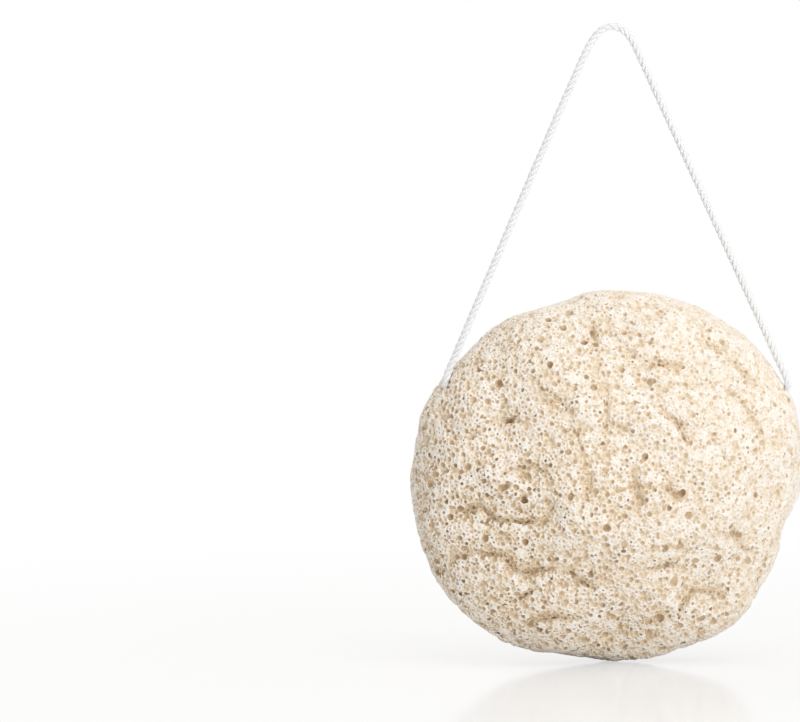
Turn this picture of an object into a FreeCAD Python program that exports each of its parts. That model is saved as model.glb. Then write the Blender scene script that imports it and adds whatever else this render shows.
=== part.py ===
import FreeCAD, Part
import math
import os

# A domed konjac face sponge that hangs from a loop of twisted cotton cord.
# Lengths are in mm. The origin is the hook's bearing point, inside the top of the loop.
# +Z is up, the domed front faces -Y and the flat back faces +Y.

# Sponge: an oval puff, crowned in front, rounded at the rim and flat behind.
sponge_width = 82.0
sponge_height = 77.0
dome_depth = 20.4
shoulder_radius = 12.0
back_edge_radius = 14.0
back_trim = 0.4

# Hand-cut outline: what the rim stands out by, as (angle in degrees, share of the radius).
outline_shares = [
    (0, -0.005), (45, -0.030), (80, -0.025), (110, -0.042), (130, -0.015), (150, 0.0), (180, 0.010),
    (220, 0.055), (250, 0.026), (275, -0.017), (305, 0.045), (325, 0.0), (340, -0.045),
]

# Lumps and hollows over the dome, as (share of half the width, share of half the height, height).
lump_radius = 6.0
calm_radius = 11.0
lumps = [
    (-0.10, 0.36, 1.0), (0.10, -0.10, 1.1), (0.29, 0.26, 0.8), (-0.26, 0.66, 0.9), (0.20, 0.74, 0.8),
    (-0.22, -0.24, 1.0), (0.02, -0.34, 0.9), (0.15, -0.66, 1.0), (-0.32, 0.10, 0.8), (-0.74, 0.38, 0.9),
    (0.46, -0.74, 0.8), (-0.46, 0.52, 0.7), (0.48, 0.06, 0.8), (0.50, -0.30, 0.8), (-0.60, -0.58, 0.9),
    (0.52, 0.52, 0.8), (-0.72, -0.02, 0.9), (-0.34, -0.70, 0.7),
    (-0.02, 0.20, -1.0), (0.01, 0.50, -1.0), (0.10, 0.06, -0.6), (-0.60, 0.25, -1.1), (-0.70, -0.24, -0.9),
    (-0.46, -0.47, -1.1), (-0.20, -0.51, -0.9), (0.26, -0.46, -1.2), (0.45, -0.60, -1.0), (0.70, -0.44, -0.9),
    (0.05, -0.84, -0.9), (0.25, 0.57, -0.7), (0.68, 0.52, -0.6), (0.74, -0.10, -0.7), (-0.48, -0.10, -0.7),
]

# Rings that carry the dome, shoulder and back edge, and the places round each.
crown_rings = 9
shoulder_rings = 5
edge_rings = 5
ring_places = 40

# Cord: one length, threaded through the sponge near its top and tied inside it.
cord_diameter = 1.5
loop_height = 76.0
hook_diameter = 6.8
channel_rise = 15.5
channel_clearance = 0.15
mouth_depth = 2.8
lip_radius = 2.0
lip_clearance = 0.25
dish_floor_width = 1.0
dish_slope = 55.0
join_depth = 4.0

# Knot: a reef knot, two bights through each other, drawn a little open.
knot_gap = 1.2
half_twist_share = 2.4
tail_length = 5.0
knot_lead = 4.0
pocket_clearance = 0.4

# Share of a run that an arc at its end may take, and the steps that settle the loop's slope.
arc_share = 0.45
slope_steps = 40
gap_step = 0.3
cut_overrun = 4.0
first_slope = 60.0
neighbour_share = 4.0

cord_radius = cord_diameter / 2
channel_radius = cord_radius + channel_clearance
bend_radius = lip_radius + lip_clearance + cord_radius
half_width = sponge_width / 2
half_height = sponge_height / 2
channel_z = -loop_height
centre_z = channel_z - channel_rise
mouth_x = half_width * math.sqrt(1 - (channel_rise / half_height) ** 2)
bend_x = mouth_x - mouth_depth
join_x = bend_x - join_depth


def point(x, y, z):
    return FreeCAD.Vector(x, y, z)


def polar(centre, radius, angle):
    return centre + point(radius * math.cos(angle), radius * math.sin(angle), 0)


def arc(centre, radius, start, end):
    middle = (start + end) / 2
    return Part.Arc(
        polar(centre, radius, start), polar(centre, radius, middle), polar(centre, radius, end)
    ).toShape()


def line(start, end):
    return Part.LineSegment(start, end).toShape()


def chain(points):
    return [line(a, b) for a, b in zip(points, points[1:])]


def outline_share(angle):
    """The hand-cut outline's share at an angle, eased from each listed angle to the next."""
    turn = math.degrees(angle) % 360
    first = outline_shares[0]
    listed = outline_shares + [(first[0] + 360, first[1])]
    for (a, share_a), (b, share_b) in zip(listed, listed[1:]):
        if a <= turn <= b:
            t = (turn - a) / (b - a)
            return share_a + (share_b - share_a) * t * t * (3 - 2 * t)


def relief(x, z):
    """How far the lumps and hollows lift a place on the dome."""
    lift = 0
    for share_x, share_z, height in lumps:
        apart = math.hypot(x - share_x * half_width, z - share_z * half_height)
        lift += height * math.exp(-((apart / lump_radius) ** 2))
    return lift


def eased_relief(x, z):
    """The relief, evened out to one height round the middle of the dome, where the rings close up."""
    t = min(math.hypot(x, z) / calm_radius, 1)
    middle = relief(0, 0)
    return middle + (relief(x, z) - middle) * t * t * (3 - 2 * t)


def ring(centre, radius, angle, relief_share):
    """A closed ring at one place of the turned profile, stretched to the outline and lifted by the lumps."""
    foot = polar(centre, radius, angle)
    places = []
    for k in range(ring_places):
        turn = 2 * math.pi * k / ring_places
        spoke = foot.x * (1 + outline_share(turn))
        x = spoke * math.cos(turn)
        z = spoke * math.sin(turn) * half_height / half_width
        lift = relief_share * eased_relief(x, z)
        out = 1 + lift * math.cos(angle) / spoke
        places.append(point(x * out, foot.y + lift * math.sin(angle), z * out))
    curve = Part.BSplineCurve()
    curve.interpolate(places, PeriodicFlag=True)
    return Part.Wire(curve.toShape())


def puff():
    """The sponge before it is threaded, with its widest ring in the plane Y = 0."""
    shoulder_x = half_width - shoulder_radius
    crown_radius = (shoulder_x**2 + dome_depth**2 - shoulder_radius**2) / (
        2 * (dome_depth - shoulder_radius)
    )
    crown = point(0, crown_radius - dome_depth, 0)
    shoulder = point(shoulder_x, 0, 0)
    back_edge = point(half_width - back_edge_radius, 0, 0)
    quarter = math.pi / 2
    meeting = -math.atan2(crown.y, shoulder_x)
    flat = math.asin(1 - back_trim / back_edge_radius)
    rings = []
    for k in range(1, crown_rings):
        angle = -quarter + (meeting + quarter) * k / crown_rings
        rings.append(ring(crown, crown_radius, angle, 1))
    for k in range(shoulder_rings):
        fade = 1 - k / shoulder_rings
        rings.append(ring(shoulder, shoulder_radius, meeting * fade, fade))
    for k in range(edge_rings + 1):
        rings.append(ring(back_edge, back_edge_radius, flat * k / edge_rings, 0))
    tip = Part.Vertex(0, -dome_depth - relief(0, 0), 0)
    return Part.makeLoft([tip] + rings, True).Solids[0]


def threading(knot_reach, knot_radius, tail_reach, tail_radius):
    """What the cord takes up inside the sponge, turned about the channel's axis."""
    floor_x = bend_x + lip_radius
    lip = point(bend_x, channel_radius + lip_radius, 0)
    floor_radius = lip.y + dish_floor_width
    outside_x = half_width + cut_overrun
    outside_radius = floor_radius + (outside_x - floor_x) * math.tan(math.radians(dish_slope))
    quarter = math.pi / 2
    step = knot_radius - tail_radius
    taper = tail_radius - channel_radius
    edges = chain(
        [
            point(0, knot_radius, 0),
            point(knot_reach, knot_radius, 0),
            point(knot_reach + step, tail_radius, 0),
            point(tail_reach, tail_radius, 0),
            point(tail_reach + taper, channel_radius, 0),
            point(bend_x, channel_radius, 0),
        ]
    )
    edges.append(arc(lip, lip_radius, -quarter, 0))
    edges += chain(
        [
            polar(lip, lip_radius, 0),
            point(floor_x, floor_radius, 0),
            point(outside_x, outside_radius, 0),
            point(outside_x, 0, 0),
        ]
    )
    half = Part.Wire(edges)
    other_half = half.mirror(point(0, 0, 0), point(1, 0, 0))
    axis = line(point(-outside_x, 0, 0), point(outside_x, 0, 0))
    outline = Part.Wire(Part.__sortEdges__(half.Edges + other_half.Edges + [axis]))
    turned = Part.Face(outline).revolve(point(0, 0, 0), point(1, 0, 0), 360)
    turned.translate(point(0, 0, channel_z))
    return turned


def loop_points():
    """The free loop from one join to the other: out of the mouth, up and over the hook."""
    top_z = cord_radius
    top_radius = hook_diameter / 2 + cord_radius
    rise = math.radians(first_slope)
    for _ in range(slope_steps):
        top_x = top_radius * math.tan(rise / 2) / (2 * arc_share)
        turn = (math.pi - rise) / 2
        reach = bend_radius * math.tan(turn / 2)
        run = reach / arc_share
        first = point(-bend_x - reach, 0, channel_z)
        second = first + point(-run * math.cos(turn), 0, run * math.sin(turn))
        rise = math.atan2(top_z - second.z, -top_x - second.x)
    left = [point(-join_x, 0, channel_z), first, second, point(-top_x, 0, top_z)]
    right = [point(-p.x, p.y, p.z) for p in reversed(left)]
    return left + right


def end_points():
    """One threaded end: from its join to the knot, round its bight and out as a tail."""
    spacing = cord_diameter + knot_gap
    height = spacing / 2
    neck_y = spacing / 2
    middle_y = neck_y + spacing / 2
    wide_y = middle_y + spacing / 2
    twist = half_twist_share * spacing
    corner = wide_y * math.tan(math.pi / 6)
    tip = wide_y / math.cos(math.pi / 6)
    over_x = twist / 2 + spacing
    leg = [
        (-over_x, neck_y, height),
        (-twist / 2, neck_y, 0),
        (0, middle_y, -height),
        (twist / 2, wide_y, 0),
        (twist / 2 + corner, wide_y, height),
    ]
    lead = [(-over_x - knot_lead, 0, 0)]
    crown = [(twist / 2 + tip, 0, height)]
    back = [(x, -y, z) for x, y, z in reversed(leg)]
    tail = [(-over_x - tail_length, -neck_y, height)]
    places = [(-join_x, 0, 0)] + lead + leg + crown + back + tail
    return [point(x, y, z + channel_z) for x, y, z in places]


def rounded(points):
    """Straight runs joined by tangent arcs, each as large as its shorter run allows."""
    edges = []
    radii = []
    start = points[0]
    for before, corner, after in zip(points, points[1:], points[2:]):
        into = corner - before
        out = after - corner
        reach = arc_share * min(into.Length, out.Length)
        turn = into.getAngle(out)
        radius = reach / math.tan(turn / 2)
        radii.append(radius)
        into.normalize()
        out.normalize()
        arc_start = corner - into * reach
        arc_end = corner + out * reach
        inward = out - into
        inward.normalize()
        centre = corner + inward * (radius / math.cos(turn / 2))
        arc_middle = centre - inward * radius
        edges.append(line(start, arc_start))
        edges.append(Part.Arc(arc_start, arc_middle, arc_end).toShape())
        start = arc_end
    edges.append(line(start, points[-1]))
    return Part.Wire(edges), radii


def tube(name, points):
    path, radii = rounded(points)
    along = points[1] - points[0]
    ring = Part.Circle(points[0], along, cord_radius).toShape()
    solid = path.makePipeShell([Part.Wire(ring)], True, False)
    share = solid.Volume / (math.pi * cord_radius**2 * path.Length)
    shown = ", ".join(f"{r:.1f}" for r in radii)
    print(f"{name}: length {path.Length:.1f}, volume over section times length {share:.4f}")
    print(f"{name}: radii {shown}")
    return solid, path


def least_gap(paths):
    """The least gap between turns of the cord that aren't neighbours along it."""
    samples = []
    run = 0
    for path in paths:
        for place in path.discretize(Distance=gap_step):
            samples.append((run, place))
            run += gap_step
    apart = neighbour_share * cord_diameter
    least = min(
        (a - b).Length for i, a in samples for j, b in samples if j - i > apart
    )
    return least - cord_diameter


loop_path_points = loop_points()
left_points = end_points()
right_points = [point(-p.x, p.y, 2 * channel_z - p.z) for p in left_points]

hanging_loop, loop_path = tube("hanging_loop", loop_path_points)
left_end, left_path = tube("left_threaded_end", left_points)
right_end, right_path = tube("right_threaded_end", right_points)
print(f"least gap in the knot: {least_gap([left_path, right_path]):.2f}")

knot_places = left_points[3:-1]
knot_radius = max(math.hypot(p.y, p.z - channel_z) for p in knot_places)
knot_reach = max(p.x for p in knot_places) + cord_radius
tail = left_points[-1]
tail_radius = math.hypot(tail.y, tail.z - channel_z) + cord_radius + pocket_clearance
tail_reach = -tail.x + pocket_clearance

body = puff()
balance = body.CenterOfMass
body.translate(point(0, -balance.y, centre_z))
void = threading(
    knot_reach,
    knot_radius + cord_radius + pocket_clearance,
    max(tail_reach, knot_reach),
    tail_radius,
)
sponge_body = body.cut(void).Solids[0]

print("sponge volume", sponge_body.Volume, "centre", sponge_body.CenterOfMass)
print("route", [(round(p.x, 3), round(p.z, 3)) for p in loop_path_points])

os.makedirs("parts", exist_ok=True)
sponge_body.exportStep("parts/sponge_body.step")
hanging_loop.exportStep("parts/hanging_loop.step")
left_end.exportStep("parts/left_threaded_end.step")
right_end.exportStep("parts/right_threaded_end.step")
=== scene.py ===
import math

import bpy
import numpy as np
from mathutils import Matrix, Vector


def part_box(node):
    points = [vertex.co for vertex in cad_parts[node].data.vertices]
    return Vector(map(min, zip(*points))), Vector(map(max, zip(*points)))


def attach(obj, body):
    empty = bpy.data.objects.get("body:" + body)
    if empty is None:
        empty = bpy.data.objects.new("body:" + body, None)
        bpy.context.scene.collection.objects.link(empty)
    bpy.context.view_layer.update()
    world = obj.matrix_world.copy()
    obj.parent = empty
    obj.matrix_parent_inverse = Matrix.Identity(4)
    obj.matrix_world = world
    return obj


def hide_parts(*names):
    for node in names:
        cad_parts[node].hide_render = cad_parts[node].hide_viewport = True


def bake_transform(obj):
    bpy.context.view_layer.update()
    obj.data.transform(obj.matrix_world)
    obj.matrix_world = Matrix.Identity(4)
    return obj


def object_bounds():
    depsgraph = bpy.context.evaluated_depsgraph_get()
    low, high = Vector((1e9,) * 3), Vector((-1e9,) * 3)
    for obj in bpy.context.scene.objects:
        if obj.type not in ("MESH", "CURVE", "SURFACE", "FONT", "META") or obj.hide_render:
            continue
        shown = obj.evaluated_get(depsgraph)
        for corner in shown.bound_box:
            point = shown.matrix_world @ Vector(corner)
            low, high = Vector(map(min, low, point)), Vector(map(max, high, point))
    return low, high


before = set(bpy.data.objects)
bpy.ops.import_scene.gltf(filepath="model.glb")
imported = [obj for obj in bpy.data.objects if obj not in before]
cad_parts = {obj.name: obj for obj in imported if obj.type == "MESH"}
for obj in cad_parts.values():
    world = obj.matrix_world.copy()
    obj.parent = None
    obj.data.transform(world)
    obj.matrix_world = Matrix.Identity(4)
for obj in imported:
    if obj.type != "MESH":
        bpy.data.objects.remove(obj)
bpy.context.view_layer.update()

import openvdb
from mathutils import Vector

# A konjac face sponge that hangs from a loop of twisted cotton cord.
# Everything is in metres, in the frame's own axes: +Z is up, the domed front faces -Y,
# and the origin is the hook's bearing point, inside the top of the loop.
MM = 0.001
SEED = 41
sponge_low, sponge_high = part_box("sponge_body")
sponge_centre = (sponge_low + sponge_high) / 2

# Camera: the photograph's frame in pixels, the place of the sponge's middle in it, and the view.
PHOTO_WIDTH = 800
PHOTO_HEIGHT = 722
SPONGE_PIXEL = (610.5, 472.5)
PIXEL_SIZE = 0.2075 * MM
CAMERA_AZIMUTH = math.radians(-9.2)
CAMERA_ELEVATION = math.radians(2.4)
CAMERA_DISTANCE = 0.85
SENSOR_WIDTH = 36.0

# Cord: the loop's route as (x, y, z), from the left join over the hook to the right one. Near the mouths
# it lies a little in front of the sponge's widest ring.
CORD_DIAMETER = 1.5 * MM
LOOP_ROUTE = [
    (-0.03073, 0, -0.0760),
    (-0.0337, -0.0008, -0.0760),
    (-0.0361, -0.0035, -0.0729),
    (-0.0341, -0.0028, -0.0685),
    (-0.0074, 0, -0.0081),
    (-0.002898, 0, 0.00075),
    (0.002898, 0, 0.00075),
    (0.0069, 0, -0.0076),
    (0.0354, -0.0024, -0.0695),
    (0.0373, -0.0032, -0.0737),
    (0.0350, -0.0008, -0.0764),
    (0.03073, 0, -0.0760),
]
LINE_ORDER = 3
LINE_RESOLUTION = 60
THREADED_ENDS = ("left_threaded_end", "right_threaded_end")
STRANDS = 3
LAY_LENGTH = 4.4 * MM
STRAND_SIDES = 10
RING_STEP = 0.16 * MM
STRAND_RADIUS_SHARE = 0.50
STRAND_OFFSET_SHARE = 0.54
SWELL_SHARE = 0.05
SWELL_RINGS = 12

# Sponge: the plain puff's oval and arcs, the same as the solid's.
HALF_WIDTH = 41 * MM
HALF_HEIGHT = 38.5 * MM
CHANNEL_RISE = 15.5 * MM
DOME_DEPTH = 20.4 * MM
SHOULDER_RADIUS = 12 * MM
BACK_EDGE_RADIUS = 14 * MM
BACK_TRIM = 0.4 * MM
CHANNEL_Z = -76 * MM

# Threading: the knot's pocket and the channel in the foam, as (x, radius) in mm from the middle out,
# the height below which the cord has a groove, and the lumps round the mouths as (place, size, height).
THREADING = [
    (0, 4.27), (8.67, 4.27), (9.88, 3.06), (11.34, 3.06), (13.50, 0.90), (31.00, 0.90), (31.5, 0),
]
MOUTH_TOP_Z = -64 * MM
MOUTH_CLEARANCE = 0.12 * MM
MOUTH_LUMPS = [
    ((-38.4, -1.5, -78.0), 4.0, 1.2),
    ((-36.5, 2.5, -73.5), 3.0, 0.6),
    ((38.2, -3.5, -76.5), 4.5, 1.2),
]

# Outline: what the rim stands out by, as (angle in degrees, share of the radius).
FULL_TURN = 360
OUTLINE_SHARES = [
    (0, -0.005), (28, -0.012), (45, 0.010), (62, -0.016), (80, -0.025), (110, -0.042), (130, -0.015),
    (150, 0.0), (180, 0.010), (220, 0.055), (250, 0.026), (275, 0.006), (305, 0.045), (325, 0.0),
    (340, -0.045),
]

# Lumps and hollows over the dome, the same as the solid's, as (share of half the width, share of half
# the height, height in mm), and the finer unplanned ones as (size, height).
LUMP_RADIUS = 6 * MM
LUMPS = [
    (-0.10, 0.36, 1.0), (0.10, -0.10, 1.1), (0.29, 0.26, 0.8), (-0.26, 0.66, 0.9), (0.20, 0.74, 0.8),
    (-0.22, -0.24, 1.0), (0.02, -0.34, 0.9), (0.15, -0.66, 1.0), (-0.32, 0.10, 0.8), (-0.74, 0.38, 0.9),
    (0.46, -0.74, 0.8), (-0.46, 0.52, 0.7), (0.48, 0.06, 0.8), (0.50, -0.30, 0.8), (-0.60, -0.58, 0.9),
    (0.52, 0.52, 0.8), (-0.72, -0.02, 0.9), (-0.34, -0.70, 0.7),
    (-0.02, 0.20, -1.0), (0.01, 0.50, -1.0), (0.10, 0.06, -0.6), (-0.60, 0.25, -1.1),
    (-0.70, -0.24, -0.9), (-0.46, -0.47, -1.1), (-0.20, -0.51, -0.9), (0.26, -0.46, -1.2),
    (0.45, -0.60, -1.0), (0.70, -0.44, -0.9), (0.05, -0.84, -0.9), (0.25, 0.57, -0.7),
    (0.68, 0.52, -0.6), (0.74, -0.10, -0.7), (-0.48, -0.10, -0.7),
]
FINE_LUMPS = [(7 * MM, 0.22 * MM), (3.2 * MM, 0.15 * MM)]
FOLDS = [(9 * MM, 0.18 * MM), (4.5 * MM, 0.20 * MM)]

# Foam: the grid it is carved on, and its grain.
VOXEL = 0.18 * MM
MARGIN = 3 * MM
BAND_VOXELS = 3
PAD_VOXELS = 3
GRADIENT_STEP = 2
SKIN_BAND = 2 * MM
GRAIN_SIZE = 0.8 * MM
GRAIN_HEIGHT = 0.05 * MM

# Creases: lines over the dome in shares of half the width and half the height, each with its depth,
# how they wander and break up, the valleys they lie in, and the stray ones.
CREASES = [
    (1.7 * MM, [(-0.78, -0.41), (-0.62, -0.40), (-0.53, -0.46), (-0.40, -0.48), (-0.28, -0.48),
                (-0.19, -0.55), (-0.13, -0.61)]),
    (1.2 * MM, [(0.00, -0.47), (0.10, -0.50), (0.24, -0.48)]),
    (1.4 * MM, [(0.26, -0.70), (0.33, -0.62), (0.43, -0.61), (0.54, -0.60)]),
    (1.2 * MM, [(-0.79, -0.17), (-0.71, -0.14), (-0.62, -0.21), (-0.51, -0.22), (-0.41, -0.19),
                (-0.38, -0.13)]),
    (1.3 * MM, [(-0.14, 0.74), (-0.15, 0.57), (-0.11, 0.48), (-0.10, 0.35), (-0.13, 0.24),
                (-0.13, 0.16), (-0.07, 0.10), (0.03, 0.04), (0.06, -0.12)]),
    (1.3 * MM, [(-0.77, 0.23), (-0.68, 0.28), (-0.60, 0.32)]),
    (1.0 * MM, [(0.00, 0.65), (0.11, 0.63), (0.24, 0.60)]),
    (1.1 * MM, [(-0.67, -0.67), (-0.55, -0.64), (-0.44, -0.57)]),
    (1.0 * MM, [(-0.04, -0.84), (0.09, -0.78), (0.20, -0.75)]),
    (0.9 * MM, [(0.47, 0.71), (0.61, 0.56), (0.71, 0.48)]),
    (0.9 * MM, [(0.51, 0.46), (0.62, 0.35), (0.69, 0.21)]),
    (0.8 * MM, [(0.41, 0.25), (0.47, 0.15), (0.51, 0.06)]),
    (0.9 * MM, [(0.55, -0.29), (0.60, -0.38), (0.66, -0.46)]),
    (0.9 * MM, [(-0.23, -0.08), (-0.21, -0.02), (-0.19, 0.04)]),
    (0.9 * MM, [(0.16, -0.03), (0.22, -0.07), (0.26, -0.09)]),
    (0.9 * MM, [(-0.11, -0.69), (-0.09, -0.61), (-0.04, -0.59)]),
    (0.8 * MM, [(-0.62, 0.02), (-0.52, 0.06), (-0.43, 0.04)]),
    (0.8 * MM, [(-0.39, 0.46), (-0.32, 0.38), (-0.29, 0.28)]),
    (0.8 * MM, [(0.15, 0.35), (0.23, 0.28), (0.27, 0.18)]),
    (0.9 * MM, [(-0.44, -0.76), (-0.33, -0.72), (-0.24, -0.75)]),
]
CREASE_WIDTH = 0.6 * MM
CREASE_WANDER = 0.6 * MM
CREASE_WANDER_SIZE = 4.5 * MM
CREASE_BREAK_SIZE = 3 * MM
CREASE_BREAK_SHARE = 0.4
CREASE_BREAK_LIMITS = (0.3, 1.6)
CREASE_SLANT = 0.35
# Share of each crease's depth that the tones count, which paints shade into the crease bottoms.
CREASE_PAINTED_SHADE_SHARE = 0.35
CREASE_DEPTH_SHARE = 0.85
VALLEY_WIDTH = 3.5 * MM
VALLEY_SHARE = 0.16
STRAY_CREASE_SIZE = 9 * MM
STRAY_CREASE_DEPTH = 0.5 * MM
STRAY_CREASE_WIDTH_SHARE = 0.11

# Pores: radii of each class and the share of the surface that it covers, then the places of the larger
# ones. They are finer and shallower towards the upper right.
PORES = [
    (0.50 * MM, 0.72 * MM, 0.03),
    (0.34 * MM, 0.48 * MM, 0.20),
    (0.22 * MM, 0.32 * MM, 0.33),
    (0.14 * MM, 0.20 * MM, 0.14),
]
SMALL_PORE_POWER = 1.5
MARKED_PORE_RADIUS = 0.80 * MM
MARKED_PORE_SPREAD_SHARES = (0.8, 1.1)
MARKED_PORE_SHARES = [
    (-0.52, -0.12), (-0.12, -0.26), (0.18, -0.38), (0.26, -0.37), (0.47, -0.44), (0.65, -0.46),
    (0.07, 0.12), (-0.63, 0.50), (-0.51, -0.34), (0.25, -0.56), (0.41, -0.77), (0.20, -0.76),
    (-0.27, -0.82), (-0.25, 0.87), (-0.50, 0.78), (-0.20, 0.71), (0.12, 0.51), (0.26, -0.08),
    (0.30, -0.20), (0.38, -0.26), (-0.69, 0.41),
]
WEB = 0.05 * MM
PORE_DEPTH_SHARES = (-0.10, 0.75)
LEAN_SIZE_SHARE = 0.25
LEAN_DEPTH_SHARE = 0.35
LOBED_FROM = 0.24 * MM
LOBE_COUNTS = (1, 4)
LOBE_SHARES = (0.50, 0.80)
LOBE_INWARD_SHARE = 0.5
LOBE_REACH_SHARE = 1.1
LOBE_SINK_SHARE = 0.6
PORE_STRETCH = 0.7
RIM_ROUNDING = 0.10 * MM
DEEPEST = 2 * MM

# Bake map: the radius of its two round charts and their middles along the square's diagonal.
CHART_RADIUS = 0.288
FRONT_CHART = 0.29
BACK_CHART = 0.71

# Foam's finish: tones as (place on the scale, colour), cream webs turning tan with depth, partly the
# foam's own tan and partly painted shade in pores and creases; noises as (scale, detail), ranges as
# (from, to) and the bump as (strength, height).
FOAM_AND_SHADE_TONES = [
    (0.00, (0.95, 0.92, 0.875)),
    (0.10, (0.91, 0.84, 0.75)),
    (0.26, (0.81, 0.69, 0.53)),
    (0.50, (0.70, 0.55, 0.38)),
    (0.90, (0.58, 0.44, 0.29)),
]
DEPTH_NOISE = (900, 1)
DEPTH_RANGE = ((0.3, 0.7), (0.5, 1.6))
STAIN_NOISE = (1500, 3)
STAIN_RANGE = ((0.38, 0.72), (0, 0.16))
# Specks for the finest pores: partly the foam's own tan, partly painted shade in them.
PORE_SHADE_SPECK_SCALE = 2200
PORE_SHADE_SPECK_TONES = [(0.12, (0.66, 0.56, 0.44)), (0.34, (1, 1, 1))]
PATCH_NOISE = (700, 2)
PATCH_TONES = [(0.42, (0, 0, 0)), (0.58, (1, 1, 1))]
GRAIN_NOISE = (3200, 3)
FOAM_BUMP = (0.5, 0.10 * MM)
FOAM_ROUGHNESS = 0.85
FOAM_SPECULAR = 0.25

# Cotton's finish, written the same way; its tones paint shade on the strands' sides that face into the
# cord.
COTTON_AND_GROOVE_SHADE_TONES = [(0.25, (0.86, 0.87, 0.89)), (0.75, (0.52, 0.55, 0.60))]
FLUFF_NOISE = (2600, 4)
COTTON_BUMP = (0.2, 0.04 * MM)
COTTON_ROUGHNESS = 0.9
COTTON_SHEEN = 0.2

# Stage: the floor, the lamps as (name, place, size, power), and the light all round.
FLOOR_SIZE = 4.0
FLOOR_COLOUR = (0.9, 0.9, 0.9, 1)
FLOOR_ROUGHNESS = 0.12
FLOOR_SHADE_RANGE = (0.06, 0.30)
FLOOR_WHITE_RANGE = (0.55, 1)
LAMPS = [
    ("key", (0.45, -0.50, 0.45), 0.45, 0.75),
    ("top", (0.00, -0.25, 0.55), 0.60, 1.65),
    ("low", (0.20, -0.55, -0.10), 0.30, 1.75),
    ("back", (-0.35, 0.55, 0.40), 0.50, 1.7),
]
FILL_COLOUR = (1, 0.96, 0.90, 1)
FILL_STRENGTH = 0.48
WHITE = (1, 1, 1, 1)

ring_y = sponge_high.y + BACK_TRIM - BACK_EDGE_RADIUS
ring_centre = Vector((0, ring_y, CHANNEL_Z - CHANNEL_RISE))
crown_radius = ((HALF_WIDTH - SHOULDER_RADIUS) ** 2 + DOME_DEPTH**2 - SHOULDER_RADIUS**2) / (
    2 * (DOME_DEPTH - SHOULDER_RADIUS)
)
crown_y = crown_radius - DOME_DEPTH


# Camera

def add_camera():
    """A camera at the photograph's angle, with the sponge at its place in the frame."""
    sideways = Vector((math.cos(CAMERA_AZIMUTH), math.sin(CAMERA_AZIMUTH), 0))
    back = Vector((
        math.sin(CAMERA_AZIMUTH) * math.cos(CAMERA_ELEVATION),
        -math.cos(CAMERA_AZIMUTH) * math.cos(CAMERA_ELEVATION),
        math.sin(CAMERA_ELEVATION),
    ))
    upward = back.cross(sideways)
    right_of_middle = (SPONGE_PIXEL[0] - PHOTO_WIDTH / 2) * PIXEL_SIZE
    below_middle = (SPONGE_PIXEL[1] - PHOTO_HEIGHT / 2) * PIXEL_SIZE
    aim = ring_centre - sideways * right_of_middle + upward * below_middle
    data = bpy.data.cameras.new("camera")
    data.sensor_width = SENSOR_WIDTH
    data.lens = SENSOR_WIDTH * CAMERA_DISTANCE / (PHOTO_WIDTH * PIXEL_SIZE)
    camera = bpy.data.objects.new("camera", data)
    camera.location = aim + back * CAMERA_DISTANCE
    camera.rotation_mode = "QUATERNION"
    camera.rotation_quaternion = (-back).to_track_quat("-Z", "Y")
    bpy.context.scene.collection.objects.link(camera)
    bpy.context.scene.camera = camera


# Materials

def new_material(name):
    """A material, its nodes, its links and its main shader."""
    material = bpy.data.materials.new(name)
    material.use_nodes = True
    nodes = material.node_tree.nodes
    return material, nodes, material.node_tree.links, nodes["Principled BSDF"]


def ramp(nodes, stops):
    """A scale of colours, with a stop at each listed place."""
    node = nodes.new("ShaderNodeValToRGB")
    elements = node.color_ramp.elements
    while len(elements) < len(stops):
        elements.new(position=0.5)
    for element, (place, colour) in zip(elements, stops):
        element.position = place
        element.color = (*colour, 1)
    return node


def noise(nodes, links, coordinates, scale, detail):
    """Soft noise from 0 to 1 over the given coordinates."""
    node = nodes.new("ShaderNodeTexNoise")
    node.inputs["Scale"].default_value = scale
    node.inputs["Detail"].default_value = detail
    links.new(coordinates, node.inputs["Vector"])
    return node.outputs["Fac"]


def spread(nodes, links, value, from_range, to_range):
    """Carries a value from one range over to another."""
    node = nodes.new("ShaderNodeMapRange")
    node.inputs["From Min"].default_value = from_range[0]
    node.inputs["From Max"].default_value = from_range[1]
    node.inputs["To Min"].default_value = to_range[0]
    node.inputs["To Max"].default_value = to_range[1]
    links.new(value, node.inputs["Value"])
    return node.outputs["Result"]


def add_bump(nodes, links, shader, height, strength, distance):
    """Fine relief in a shader, from a height and how far its full scale stands out."""
    node = nodes.new("ShaderNodeBump")
    node.inputs["Strength"].default_value = strength
    node.inputs["Distance"].default_value = distance
    links.new(height, node.inputs["Height"])
    links.new(node.outputs["Normal"], shader.inputs["Normal"])


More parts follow.
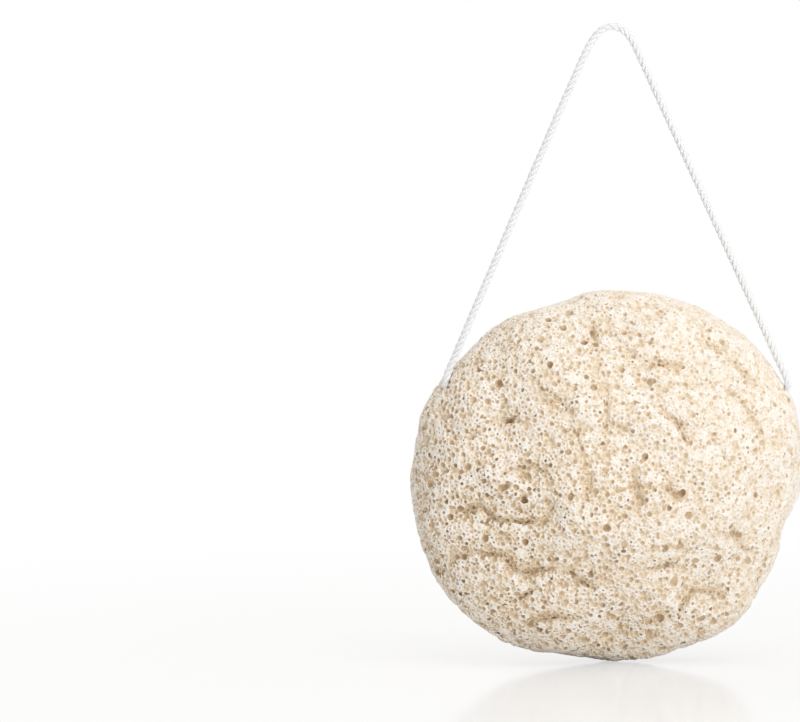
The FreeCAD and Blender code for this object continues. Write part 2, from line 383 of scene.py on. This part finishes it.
def foam_material():
    """Cream webs that turn tan with depth, partly the foam's own tan and partly painted shade in the
    pores and creases, with the finest pores as dark specks of painted shade and dents.
    """
    material, nodes, links, shader = new_material("konjac_foam")
    place = nodes.new("ShaderNodeTexCoord").outputs["Object"]
    # How deep a point lies: the tones darken with it, partly the foam's own tan and partly painted shade
    # in the pores and creases.
    depth = nodes.new("ShaderNodeAttribute")
    depth.attribute_name = "depth_for_painted_shade"
    toned = nodes.new("ShaderNodeMath")
    toned.operation = "MULTIPLY_ADD"
    links.new(depth.outputs["Fac"], toned.inputs[0])
    gain = spread(nodes, links, noise(nodes, links, place, *DEPTH_NOISE), *DEPTH_RANGE)
    stain = spread(nodes, links, noise(nodes, links, place, *STAIN_NOISE), *STAIN_RANGE)
    links.new(gain, toned.inputs[1])
    links.new(stain, toned.inputs[2])
    colour = ramp(nodes, FOAM_AND_SHADE_TONES)
    links.new(toned.outputs[0], colour.inputs["Fac"])
    # Dark specks for the finest pores: partly the foam's own tan, partly painted shade in them.
    cells = nodes.new("ShaderNodeTexVoronoi")
    cells.inputs["Scale"].default_value = PORE_SHADE_SPECK_SCALE
    links.new(place, cells.inputs["Vector"])
    pore_shade_specks = ramp(nodes, PORE_SHADE_SPECK_TONES)
    links.new(cells.outputs["Distance"], pore_shade_specks.inputs["Fac"])
    patches = ramp(nodes, PATCH_TONES)
    links.new(noise(nodes, links, place, *PATCH_NOISE), patches.inputs["Fac"])
    darken = nodes.new("ShaderNodeMix")
    darken.data_type = "RGBA"
    darken.blend_type = "MULTIPLY"
    links.new(patches.outputs["Color"], darken.inputs["Factor"])
    links.new(colour.outputs["Color"], darken.inputs["A"])
    links.new(pore_shade_specks.outputs["Color"], darken.inputs["B"])
    links.new(darken.outputs["Result"], shader.inputs["Base Color"])
    add_bump(nodes, links, shader, noise(nodes, links, place, *GRAIN_NOISE), *FOAM_BUMP)
    shader.inputs["Roughness"].default_value = FOAM_ROUGHNESS
    shader.inputs["Specular IOR Level"].default_value = FOAM_SPECULAR
    return material


def cotton_material():
    """White cotton, with painted shade in the grooves of the lay, and fine fibres."""
    material, nodes, links, shader = new_material("cotton_cord")
    place = nodes.new("ShaderNodeTexCoord").outputs["Object"]
    groove_shade = nodes.new("ShaderNodeAttribute")
    groove_shade.attribute_name = "groove_shade"
    colour = ramp(nodes, COTTON_AND_GROOVE_SHADE_TONES)
    links.new(groove_shade.outputs["Fac"], colour.inputs["Fac"])
    links.new(colour.outputs["Color"], shader.inputs["Base Color"])
    add_bump(nodes, links, shader, noise(nodes, links, place, *FLUFF_NOISE), *COTTON_BUMP)
    shader.inputs["Roughness"].default_value = COTTON_ROUGHNESS
    shader.inputs["Sheen Weight"].default_value = COTTON_SHEEN
    return material


# Meshes

def mesh_object(name, vertices, faces, material):
    """A smooth mesh from an array of places and an array of faces with equally many corners."""
    mesh = bpy.data.meshes.new(name)
    corners = faces.shape[1]
    mesh.vertices.add(len(vertices))
    mesh.vertices.foreach_set("co", np.ascontiguousarray(vertices, np.float32).ravel())
    mesh.loops.add(faces.size)
    mesh.loops.foreach_set("vertex_index", np.ascontiguousarray(faces, np.int32).ravel())
    mesh.polygons.add(len(faces))
    mesh.polygons.foreach_set("loop_start", np.arange(0, faces.size, corners, dtype=np.int32))
    mesh.update(calc_edges=True)
    mesh.shade_smooth()
    mesh.materials.append(material)
    made = bpy.data.objects.new(name, mesh)
    bpy.context.scene.collection.objects.link(made)
    return made


def add_attribute(made, name, values):
    """A value at each of a mesh's points, for its material to read."""
    attribute = made.data.attributes.new(name, "FLOAT", "POINT")
    attribute.data.foreach_set("value", values.astype(np.float32))


# Cord

def cord_line():
    """Evenly spaced points along the smooth line that the loop's route controls."""
    curve = bpy.data.curves.new("cord_line", "CURVE")
    curve.dimensions = "3D"
    curve.resolution_u = LINE_RESOLUTION
    spline = curve.splines.new("NURBS")
    spline.points.add(len(LOOP_ROUTE) - 1)
    for control, place in zip(spline.points, LOOP_ROUTE):
        control.co = (*place, 1)
    spline.order_u = LINE_ORDER
    spline.use_endpoint_u = True
    holder = bpy.data.objects.new("cord_line", curve)
    bpy.context.scene.collection.objects.link(holder)
    bpy.context.view_layer.update()
    shown = holder.evaluated_get(bpy.context.evaluated_depsgraph_get())
    line = bpy.data.meshes.new_from_object(shown)
    places = np.array([v.co for v in line.vertices])
    bpy.data.objects.remove(holder)
    bpy.data.curves.remove(curve)
    bpy.data.meshes.remove(line)
    along = np.concatenate([[0], np.cumsum(np.linalg.norm(np.diff(places, axis=0), axis=1))])
    even = np.linspace(0, along[-1], int(along[-1] / RING_STEP))
    points = np.stack([np.interp(even, along, places[:, k]) for k in range(3)], axis=1)
    return points, even


def directions(points):
    """The unit direction of a line at each of its points."""
    steps = np.gradient(points, axis=0)
    return steps / np.linalg.norm(steps, axis=1, keepdims=True)


def strand(points, along, phase, rng):
    """One strand's rings and quads: it winds about the line, with soft swells along it."""
    across = np.array([0.0, 1.0, 0.0])
    outward = np.cross(directions(points), across)
    turn = (2 * math.pi * along / LAY_LENGTH + phase)[:, None]
    offset = CORD_DIAMETER / 2 * STRAND_OFFSET_SHARE
    middle = points + offset * (np.cos(turn) * across + np.sin(turn) * outward)
    heading = directions(middle)
    side = np.cross(heading, across)
    side /= np.linalg.norm(side, axis=1, keepdims=True)
    lift = np.cross(side, heading)
    marks = along[::SWELL_RINGS]
    swell = 1 + SWELL_SHARE * np.interp(along, marks, rng.standard_normal(len(marks)))
    radius = (CORD_DIAMETER / 2 * STRAND_RADIUS_SHARE * swell)[:, None, None]
    round_it = np.linspace(0, 2 * math.pi, STRAND_SIDES, endpoint=False)[None, :, None]
    ring = np.cos(round_it) * side[:, None] + np.sin(round_it) * lift[:, None]
    rings = middle[:, None] + radius * ring
    index = np.arange(len(points) * STRAND_SIDES).reshape(len(points), STRAND_SIDES)
    following = np.roll(index, -1, axis=1)
    quads = np.stack([index[:-1], following[:-1], following[1:], index[1:]], axis=-1).reshape(-1, 4)
    # How near each point lies to the cord's middle, for the shade painted into the grooves between
    # strands.
    from_line = np.linalg.norm(rings - points[:, None], axis=2) / (CORD_DIAMETER / 2)
    return rings.reshape(-1, 3), quads, 1 - from_line.ravel()


def add_cord(material, points, along):
    """The loop as laid strands, which take the place of the model's loop."""
    rng = np.random.default_rng(SEED)
    vertices = []
    faces = []
    groove_shades = []
    for number in range(STRANDS):
        rings, quads, groove_shade = strand(points, along, 2 * math.pi * number / STRANDS, rng)
        faces.append(quads + sum(len(v) for v in vertices))
        vertices.append(rings)
        groove_shades.append(groove_shade)
    cord = mesh_object("hanging_cord_strands", np.concatenate(vertices), np.concatenate(faces), material)
    # Painted shade in the grooves between the strands.
    add_attribute(cord, "groove_shade", np.concatenate(groove_shades))
    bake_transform(cord)
    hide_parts("hanging_loop")


# Foam

def spline_weights(count, spacing):
    """Cubic B-spline weights that spread a coarse row of values over count places."""
    place = np.arange(count) / spacing
    base = np.floor(place).astype(int)
    t = place - base
    weights = np.zeros((count, base[-1] + 4), np.float32)
    rows = np.arange(count)
    weights[rows, base] = (1 - t) ** 3 / 6
    weights[rows, base + 1] = (3 * t**3 - 6 * t**2 + 4) / 6
    weights[rows, base + 2] = (-3 * t**3 + 3 * t**2 + 3 * t + 1) / 6
    weights[rows, base + 3] = t**3 / 6
    return weights


def lattice_noise(rng, shape, spacing):
    """Smooth noise over a grid, with features about spacing voxels across and a spread of 1."""
    weights = [spline_weights(count, spacing) for count in shape]
    values = rng.standard_normal([w.shape[1] for w in weights]).astype(np.float32)
    for w in weights:
        values = np.tensordot(values, w, axes=(0, 1))
    return values / values.std()


def puff_distance(x, y, z):
    """Distance outside the plain puff, from the middle of its widest ring."""
    spoke = np.sqrt(x**2 + (z * HALF_WIDTH / HALF_HEIGHT) ** 2) / (1 + outline_share(x, z))
    shoulder_in = HALF_WIDTH - SHOULDER_RADIUS
    edge_in = HALF_WIDTH - BACK_EDGE_RADIUS
    on_crown = spoke * crown_y < shoulder_in * (crown_y - y)
    crown = np.hypot(spoke, y - crown_y) - crown_radius
    shoulder = np.hypot(spoke - shoulder_in, y) - SHOULDER_RADIUS
    front = np.where(on_crown, crown, shoulder)
    flat = y - (BACK_EDGE_RADIUS - BACK_TRIM)
    edge = np.hypot(spoke - edge_in, y) - BACK_EDGE_RADIUS
    back = np.where(spoke < edge_in, flat, np.maximum(edge, flat))
    return np.where(y < 0, front, back)


def smooth_max(a, b, rounding):
    """The larger of two fields, rounded where they cross."""
    blend = np.maximum(rounding - np.abs(a - b), 0) / rounding
    return np.maximum(a, b) + blend**2 * rounding / 4


def threading_distance(x, y, z):
    """How far a place is outside the pocket and channel, measured across the channel."""
    stations, reaches = np.array(THREADING).T * MM
    reach = np.interp(np.abs(x), stations, reaches).astype(np.float32)
    return np.hypot(y, z) - reach


def outline_share(x, z):
    """How much the outline stands out from the oval, eased from each listed angle to the next."""
    turn = np.degrees(np.arctan2(z * HALF_WIDTH / HALF_HEIGHT, x)) % FULL_TURN
    shares = np.zeros_like(turn)
    listed = OUTLINE_SHARES + [(FULL_TURN, OUTLINE_SHARES[0][1])]
    for (a, share_a), (b, share_b) in zip(listed, listed[1:]):
        t = np.clip((turn - a) / (b - a), 0, 1)
        step = share_a + (share_b - share_a) * t * t * (3 - 2 * t)
        shares = np.where((turn >= a) & (turn <= b), step, shares)
    return shares


def relief(x, y, z):
    """How far the lumps and hollows lift a place, fading out over the shoulder to the widest ring."""
    lift = 0
    for share_x, share_z, height in LUMPS:
        apart = (x - share_x * HALF_WIDTH) ** 2 + (z - share_z * HALF_HEIGHT) ** 2
        lift = lift + height * MM * np.exp(-apart / LUMP_RADIUS**2)
    slope = np.arcsin(np.clip(-y / SHOULDER_RADIUS, 0, 1))
    return lift * np.clip(slope / math.atan2(crown_y, HALF_WIDTH - SHOULDER_RADIUS), 0, 1)


def crease_depths(rng, x, z, voxel):
    """Depth of the listed creases over the plane of the widest ring."""
    shape = (x.size, z.size)
    wander = [CREASE_WANDER * lattice_noise(rng, shape, CREASE_WANDER_SIZE / voxel) for _ in range(2)]
    across = x.reshape(-1, 1) + wander[0]
    upward = z.reshape(1, -1) + wander[1]
    depths = np.zeros(shape, np.float32)
    for depth, shares in CREASES:
        places = np.array(shares) * (HALF_WIDTH, HALF_HEIGHT)
        nearest = np.full(shape, HALF_WIDTH, np.float32)
        for (x0, z0), (x1, z1) in zip(places, places[1:]):
            run = (x1 - x0) ** 2 + (z1 - z0) ** 2
            t = np.clip(((across - x0) * (x1 - x0) + (upward - z0) * (z1 - z0)) / run, 0, 1)
            apart = np.hypot(across - x0 - t * (x1 - x0), upward - z0 - t * (z1 - z0))
            nearest = np.minimum(nearest, apart)
        fold = CREASE_DEPTH_SHARE * np.exp(-((nearest / CREASE_WIDTH) ** 2))
        valley = VALLEY_SHARE * np.exp(-((nearest / VALLEY_WIDTH) ** 2))
        depths = np.maximum(depths, depth * (fold + valley))
    breaks = 1 + CREASE_BREAK_SHARE * lattice_noise(rng, shape, CREASE_BREAK_SIZE / voxel)
    return depths * np.clip(breaks, *CREASE_BREAK_LIMITS)


def crease(skin, rng, x, y, z, voxel):
    """Adds the creases: slanted folds over the dome, and stray ones all round."""
    depths = crease_depths(rng, x, z, voxel)
    rows = np.arange(z.size)[None, :]
    columns = np.arange(x.size)[:, None]
    stray = lattice_noise(rng, skin.shape, STRAY_CREASE_SIZE / voxel)
    where = np.clip(lattice_noise(rng, skin.shape, STRAY_CREASE_SIZE / voxel), 0, 1)
    stray = STRAY_CREASE_DEPTH * where * np.exp(-((stray / STRAY_CREASE_WIDTH_SHARE) ** 2))
    for layer in range(y.size):
        slid = rows - np.rint(CREASE_SLANT * np.clip(skin[:, layer], -MARGIN, MARGIN) / voxel).astype(int)
        if y.flat[layer] < 0:
            stray[:, layer] += depths[columns, np.clip(slid, 0, z.size - 1)]
    return skin + stray


def lean(place):
    """How far a place lies towards the finer foam at the upper right: below 0 at the lower left."""
    return (place[0] / HALF_WIDTH + place[2] / HALF_HEIGHT) / 2


class Foam:
    """A solid's field as it is carved, and the room left between the pores on its surface."""

    def __init__(self, field, axes, voxel):
        self.field = field
        self.axes = axes
        self.voxel = voxel
        self.room = np.full(field.shape, MARGIN, np.float32)

    def ball(self, centre, radius, stretch):
        """The grid's block round a ball drawn out along a direction, and its distance outside it."""
        reach = radius / math.sqrt(1 - PORE_STRETCH**2) + PAD_VOXELS * self.voxel
        spans = []
        for axis, c in zip(self.axes, centre):
            first = max(int((c - reach - axis[0]) / self.voxel), 0)
            last = min(int((c + reach - axis[0]) / self.voxel) + 2, len(axis))
            spans.append(slice(first, last))
        spans = tuple(spans)
        dx = (self.axes[0][spans[0]] - centre[0])[:, None, None]
        dy = (self.axes[1][spans[1]] - centre[1])[None, :, None]
        dz = (self.axes[2][spans[2]] - centre[2])[None, None, :]
        along = dx * stretch[0] + dy * stretch[1] + dz * stretch[2]
        outside = np.sqrt(dx**2 + dy**2 + dz**2 - along**2) - radius
        return spans, outside.astype(np.float32)

    def drill(self, centre, radius):
        """Takes out a ball with sharp rims."""
        spans, outside = self.ball(centre, radius, np.zeros(3))
        self.field[spans] = np.maximum(self.field[spans], -outside)

    def carve(self, rng, centre, radius):
        """Takes out a ball drawn out at random, with rounded rims, and marks its room as taken."""
        stretch = rng.standard_normal(3)
        stretch *= rng.uniform(0, PORE_STRETCH) / np.linalg.norm(stretch)
        spans, outside = self.ball(centre, radius, stretch)
        self.field[spans] = smooth_max(self.field[spans], -outside, RIM_ROUNDING)
        self.room[spans] = np.minimum(self.room[spans], outside)

    def add_pore(self, rng, place, inward, radius):
        """One pore that opens at a place on the surface, with lobes at its side and in its floor."""
        sunk = rng.uniform(*PORE_DEPTH_SHARES) - LEAN_DEPTH_SHARE * lean(place)
        centre = place + inward * radius * sunk
        self.carve(rng, centre, radius)
        if radius > LOBED_FROM:
            for _ in range(rng.integers(*LOBE_COUNTS)):
                way = rng.standard_normal(3) + LOBE_INWARD_SHARE * inward
                way /= np.linalg.norm(way)
                lobe = radius * rng.uniform(*LOBE_SHARES)
                reach = LOBE_REACH_SHARE * radius - LOBE_SINK_SHARE * lobe
                self.carve(rng, centre + way * reach, lobe)


def throw_pores(foam, rng, near, surface, inward):
    """Pores of each class at random places, the largest first, each clear of those before it."""
    area = len(surface) * foam.voxel**2
    for smallest, largest, share in PORES:
        left = share * area
        radii = smallest + (largest - smallest) * rng.random(len(surface)) ** SMALL_PORE_POWER
        for pick in rng.permutation(len(surface)):
            radius = radii[pick] * (1 - LEAN_SIZE_SHARE * lean(surface[pick]))
            if foam.room[tuple(near[pick])] < radius + WEB:
                continue
            foam.add_pore(rng, surface[pick], inward[pick], radius)
            left -= math.pi * radius**2
            if left < 0:
                break


def sample(field, axes, voxel, places):
    """The field's value at each place, from the eight voxels round it."""
    at = np.stack([(places[:, k] - axes[k][0]) / voxel for k in range(3)], axis=1)
    base = np.clip(np.floor(at).astype(int), 0, np.array(field.shape) - 2)
    t = at - base
    total = 0
    for i in (0, 1):
        for j in (0, 1):
            for k in (0, 1):
                weight = np.abs(1 - i - t[:, 0]) * np.abs(1 - j - t[:, 1]) * np.abs(1 - k - t[:, 2])
                total = total + weight * field[base[:, 0] + i, base[:, 1] + j, base[:, 2] + k]
    return total


def lumpy_skin(rng, x, y, z, voxel):
    """The distance field of the puff with its lumps, hollows and fine folds."""
    skin = puff_distance(x, y, z).astype(np.float32)
    skin -= relief(x, y, z).astype(np.float32)
    dome = np.where(y < 0, np.clip(1 - (x / HALF_WIDTH) ** 2 - (z / HALF_HEIGHT) ** 2, 0, 1), 0)
    dome = np.sqrt(dome).astype(np.float32)
    for size, height in FINE_LUMPS:
        skin -= height * lattice_noise(rng, skin.shape, size / voxel)
    for size, height in FOLDS:
        puffs = np.abs(lattice_noise(rng, skin.shape, size / voxel))
        skin -= height * dome * (puffs - puffs.mean())
    for place, size, height in MOUTH_LUMPS:
        lump = Vector(place) * MM - ring_centre
        apart = (x - lump.x) ** 2 + (y - lump.y) ** 2 + (z - lump.z) ** 2
        skin -= height * MM * np.exp(-apart / (size * MM) ** 2)
    return skin


def surface_of(solid, skin, axes, voxel):
    """The voxels at the outer surface, their places and the way inward at each."""
    near = np.argwhere((np.abs(solid) < voxel / 2) & (np.abs(skin) < SKIN_BAND))
    gradient = np.stack([
        solid[tuple((near + step).T)] - solid[tuple((near - step).T)]
        for step in np.eye(3, dtype=int) * GRADIENT_STEP
    ], axis=1)
    inward = -gradient / np.linalg.norm(gradient, axis=1, keepdims=True)
    surface = np.stack([axes[k][near[:, k]] for k in range(3)], axis=1)
    return near, surface, inward


def mark_pores(foam, rng, surface, inward):
    """The larger pores, each at the place on the dome nearest to where it is listed."""
    for share_x, share_z in MARKED_PORE_SHARES:
        off = np.hypot(surface[:, 0] - share_x * HALF_WIDTH, surface[:, 2] - share_z * HALF_HEIGHT)
        off[surface[:, 1] > 0] = HALF_WIDTH
        pick = off.argmin()
        radius = MARKED_PORE_RADIUS * rng.uniform(*MARKED_PORE_SPREAD_SHARES)
        foam.add_pore(rng, surface[pick], inward[pick], radius)


def foam_fields(voxel, cord_points):
    """The distance field that the foam's tones and their painted shade follow, and that of the creased
    and porous foam.
    """
    rng = np.random.default_rng(SEED)
    low = sponge_low - ring_centre
    high = sponge_high - ring_centre
    axes = [np.arange(a - MARGIN, b + MARGIN, voxel, dtype=np.float32) for a, b in zip(low, high)]
    x = axes[0][:, None, None]
    y = axes[1][None, :, None]
    z = axes[2][None, None, :]
    plain = lumpy_skin(rng, x, y, z, voxel)
    skin = crease(plain, rng, x, y, z, voxel)
    channel = threading_distance(x, y + ring_centre.y, z + ring_centre.z - CHANNEL_Z)
    foam = Foam(np.maximum(skin, -channel), axes, voxel)
    for place in cord_points[cord_points[:, 2] < MOUTH_TOP_Z]:
        foam.drill(place - np.array(ring_centre), CORD_DIAMETER / 2 + MOUTH_CLEARANCE)
    near, surface, inward = surface_of(foam.field, skin, axes, voxel)
    mark_pores(foam, rng, surface, inward)
    throw_pores(foam, rng, near, surface, inward)
    foam.field += GRAIN_HEIGHT * lattice_noise(rng, skin.shape, GRAIN_SIZE / voxel)
    # The tones' field counts part of each crease's depth, so that shade is painted into the crease
    # bottoms.
    return axes, skin + CREASE_PAINTED_SHADE_SHARE * (plain - skin), foam.field


def largest_shell(points, quads):
    """Drops the loose crumbs: only the largest linked set of faces is kept."""
    label = np.arange(len(points))
    edges = np.concatenate([quads[:, [0, 1]], quads[:, [1, 2]], quads[:, [2, 3]]])
    while True:
        lower = np.minimum(label[edges[:, 0]], label[edges[:, 1]])
        linked = label.copy()
        np.minimum.at(linked, label[edges[:, 0]], lower)
        np.minimum.at(linked, label[edges[:, 1]], lower)
        linked = linked[linked]
        linked = linked[linked]
        if np.array_equal(linked, label):
            break
        label = linked
    kept = label == np.bincount(label).argmax()
    number = np.cumsum(kept) - 1
    return points[kept], number[quads[kept[quads[:, 0]]]]


def add_bake_map(sponge, places, quads):
    """Two round charts, front and back, side by side on the square's diagonal."""
    spoke = np.hypot(places[:, 0], places[:, 2] * HALF_WIDTH / HALF_HEIGHT)
    round_it = np.arctan2(places[:, 2], places[:, 0])
    tilt = np.arctan2(spoke, np.abs(places[:, 1])) / (math.pi / 2)
    disc = np.stack([tilt * np.cos(round_it), tilt * np.sin(round_it)], axis=1) * CHART_RADIUS
    front = (places[quads, 1].mean(axis=1) < 0)[:, None, None]
    chart = disc[quads] + np.where(front, FRONT_CHART, BACK_CHART)
    layer = sponge.data.uv_layers.new(name="OFBake")
    layer.uv.foreach_set("vector", chart.astype(np.float32).ravel())


def add_sponge(material, cord_points):
    """The foam's surface as a mesh, with how deep each point lies as a value for its tones, which paint
    shade in the pores and creases.
    """
    voxel = VOXEL
    axes, skin, field = foam_fields(voxel, cord_points)
    band = BAND_VOXELS * voxel
    grid = openvdb.FloatGrid(band)
    grid.copyFromArray(np.clip(field, -band, band))
    points, _, quads = grid.convertToPolygons(isovalue=0.0, adaptivity=0.0)
    points, quads = largest_shell(points, quads.astype(np.int64))
    places = points * voxel + np.array([axis[0] for axis in axes])
    sponge = mesh_object("sponge_foam", places + np.array(ring_centre), quads, material)
    # Depth below the skin, which the tones turn into painted shade in the pores and creases.
    depth = np.clip(-sample(skin, axes, voxel, places) / DEEPEST, 0, 1)
    add_attribute(sponge, "depth_for_painted_shade", depth)
    add_bake_map(sponge, places, quads)
    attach(sponge, "sponge")
    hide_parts("sponge_body")


# Stage

def add_floor(height):
    """A pale floor: its shade shows round the sponge and fades to plain white away from it."""
    bpy.ops.mesh.primitive_plane_add(size=FLOOR_SIZE, location=(0, 0, height))
    floor = bpy.context.object
    floor.name = "floor"
    material, nodes, links, shader = new_material("floor")
    shader.inputs["Base Color"].default_value = FLOOR_COLOUR
    shader.inputs["Roughness"].default_value = FLOOR_ROUGHNESS
    glow = nodes.new("ShaderNodeEmission")
    mix = nodes.new("ShaderNodeMixShader")
    path = nodes.new("ShaderNodeLightPath")
    away = nodes.new("ShaderNodeVectorMath")
    away.operation = "LENGTH"
    share = nodes.new("ShaderNodeMath")
    share.operation = "MULTIPLY"
    links.new(nodes.new("ShaderNodeTexCoord").outputs["Object"], away.inputs[0])
    fade = spread(nodes, links, away.outputs["Value"], FLOOR_SHADE_RANGE, FLOOR_WHITE_RANGE)
    links.new(fade, share.inputs[0])
    links.new(path.outputs["Is Camera Ray"], share.inputs[1])
    links.new(share.outputs[0], mix.inputs["Fac"])
    links.new(shader.outputs[0], mix.inputs[1])
    links.new(glow.outputs[0], mix.inputs[2])
    links.new(mix.outputs[0], nodes["Material Output"].inputs["Surface"])
    floor.data.materials.append(material)


def area_light(name, place, size, power):
    """A square lamp that faces the sponge."""
    data = bpy.data.lights.new(name, "AREA")
    data.size = size
    data.energy = power
    lamp = bpy.data.objects.new(name, data)
    lamp.location = Vector(place)
    lamp.rotation_mode = "QUATERNION"
    lamp.rotation_quaternion = (sponge_centre - lamp.location).to_track_quat("-Z", "Y")
    bpy.context.scene.collection.objects.link(lamp)


def add_lights():
    """The lamps and a soft light all round, which the camera and reflections see as plain white."""
    for lamp in LAMPS:
        area_light(*lamp)
    world = bpy.data.worlds.new("studio")
    bpy.context.scene.world = world
    world.use_nodes = True
    nodes = world.node_tree.nodes
    links = world.node_tree.links
    fill = nodes["Background"]
    fill.inputs["Color"].default_value = FILL_COLOUR
    fill.inputs["Strength"].default_value = FILL_STRENGTH
    white = nodes.new("ShaderNodeBackground")
    white.inputs["Color"].default_value = WHITE
    white.inputs["Strength"].default_value = 1
    mix = nodes.new("ShaderNodeMixShader")
    path = nodes.new("ShaderNodeLightPath")
    seen = nodes.new("ShaderNodeMath")
    seen.operation = "MAXIMUM"
    shown = nodes.new("ShaderNodeMath")
    shown.operation = "MAXIMUM"
    links.new(path.outputs["Is Camera Ray"], seen.inputs[0])
    links.new(path.outputs["Is Glossy Ray"], seen.inputs[1])
    links.new(seen.outputs[0], shown.inputs[0])
    links.new(path.outputs["Is Transmission Ray"], shown.inputs[1])
    links.new(shown.outputs[0], mix.inputs["Fac"])
    links.new(fill.outputs[0], mix.inputs[1])
    links.new(white.outputs[0], mix.inputs[2])
    links.new(mix.outputs[0], nodes["World Output"].inputs["Surface"])


bpy.context.scene.view_settings.view_transform = "Standard"
cotton = cotton_material()
konjac = foam_material()
for end in THREADED_ENDS:
    bpy.data.objects[end].data.materials.clear()
    bpy.data.objects[end].data.materials.append(cotton)
add_camera()
line_points, line_along = cord_line()
add_cord(cotton, line_points, line_along)
add_sponge(konjac, line_points)
low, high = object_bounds()
add_floor(low.z)
add_lights()
